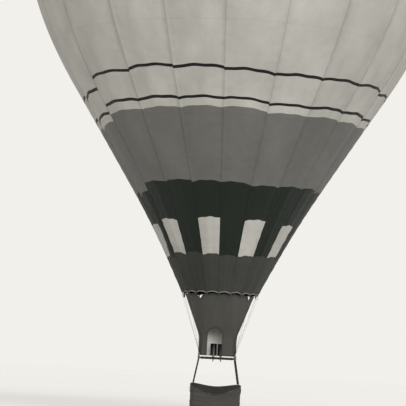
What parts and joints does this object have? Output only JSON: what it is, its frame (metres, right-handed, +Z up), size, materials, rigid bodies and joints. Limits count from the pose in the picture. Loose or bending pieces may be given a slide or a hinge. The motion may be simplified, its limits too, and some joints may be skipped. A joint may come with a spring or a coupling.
{
  "type": "hot air balloon",
  "caption": "Hot air balloon: banded cloth envelope with a parachute valve, cloth scoop, gimballed burner in a frame, and a wicker basket on wooden runners.",
  "frame": {"origin": "on the balloon's vertical axis at the envelope's widest level, where the air's lift is taken to act", "axes": "+Z up along the axis, +X along the basket's long side, -Y towards the side seen in the picture"},
  "size_m": [14.0346, 14.0346, 20.6366],
  "materials": {
    "cream_cloth": "coated ripstop nylon, dull sheen",
    "grey_cloth": "coated ripstop nylon, dull sheen",
    "green_cloth": "coated ripstop nylon, dull sheen",
    "olive_cloth": "heat-resistant cloth, matte",
    "black_cloth": "coated ripstop nylon",
    "scoop_cloth": "heat-resistant cloth, matte",
    "webbing": "woven polyester tape",
    "stainless_steel": "satin, heat tinted at the burner",
    "aluminium": "satin",
    "wicker": "woven willow, oiled",
    "suede": "rough suede",
    "rawhide": "rawhide, scuffed",
    "plywood": "varnished plywood",
    "ash_wood": "bare ash, worn"
  },
  "bodies": {
    "balloon": {"throat_cone": "olive_cloth", "dark_green_band": "green_cloth", "grey_band": "grey_cloth", "cream_edge_band": "cream_cloth", "lower_stripe": "black_cloth", "cream_narrow_band": "cream_cloth", "upper_stripe": "black_cloth", "cream_main_band": "cream_cloth", "cream_shoulder_band": "cream_cloth", "crown_stripe": "black_cloth", "grey_crown_band": "grey_cloth", "dark_green_crown_band": "green_cloth", "mouth_hem": "webbing", "crown_webbing_star": "webbing", "crown_ring": "aluminium", "scoop": "scoop_cloth", "flying_wires_right_back": "stainless_steel", "flying_wires_left_back": "stainless_steel", "flying_wires_left_front": "stainless_steel", "flying_wires_right_front": "stainless_steel", "karabiner_right_back": "stainless_steel", "karabiner_left_back": "stainless_steel", "karabiner_left_front": "stainless_steel", "karabiner_right_front": "stainless_steel", "burner_frame": "stainless_steel", "wicker_walls": "wicker", "rim_cover": "suede", "basket_floor": "plywood", "runner_front": "ash_wood", "runner_middle": "ash_wood", "runner_back": "ash_wood", "foot_band": "rawhide", "fuel_cylinder_right_back": "aluminium", "fuel_cylinder_left_back": "aluminium", "fuel_cylinder_left_front": "aluminium", "fuel_cylinder_right_front": "aluminium", "upright_right_back": "suede", "upright_left_back": "suede", "upright_left_front": "suede", "upright_right_front": "suede"},
    "valve": {"parachute_valve": "cream_cloth"},
    "gimbal": {"gimbal_ring": "stainless_steel"},
    "burner": {"burner_block": "aluminium", "burner_can_left": "stainless_steel", "burner_can_right": "stainless_steel"}
  },
  "joints": [
    {"name": "valve_pull", "type": "slide", "parent": "balloon", "child": "valve", "axis": [0, 0, -1], "range_m": [0, 1.2]},
    {"name": "gimbal_roll", "type": "hinge", "parent": "balloon", "child": "gimbal", "pos_m": [0, 0, -13.87], "axis": [1, 0, 0], "range_deg": [-15, 15]},
    {"name": "burner_tilt", "type": "hinge", "parent": "gimbal", "child": "burner", "pos_m": [0, 0, -13.87], "axis": [0, 1, 0], "range_deg": [-15, 15]}
  ]
}
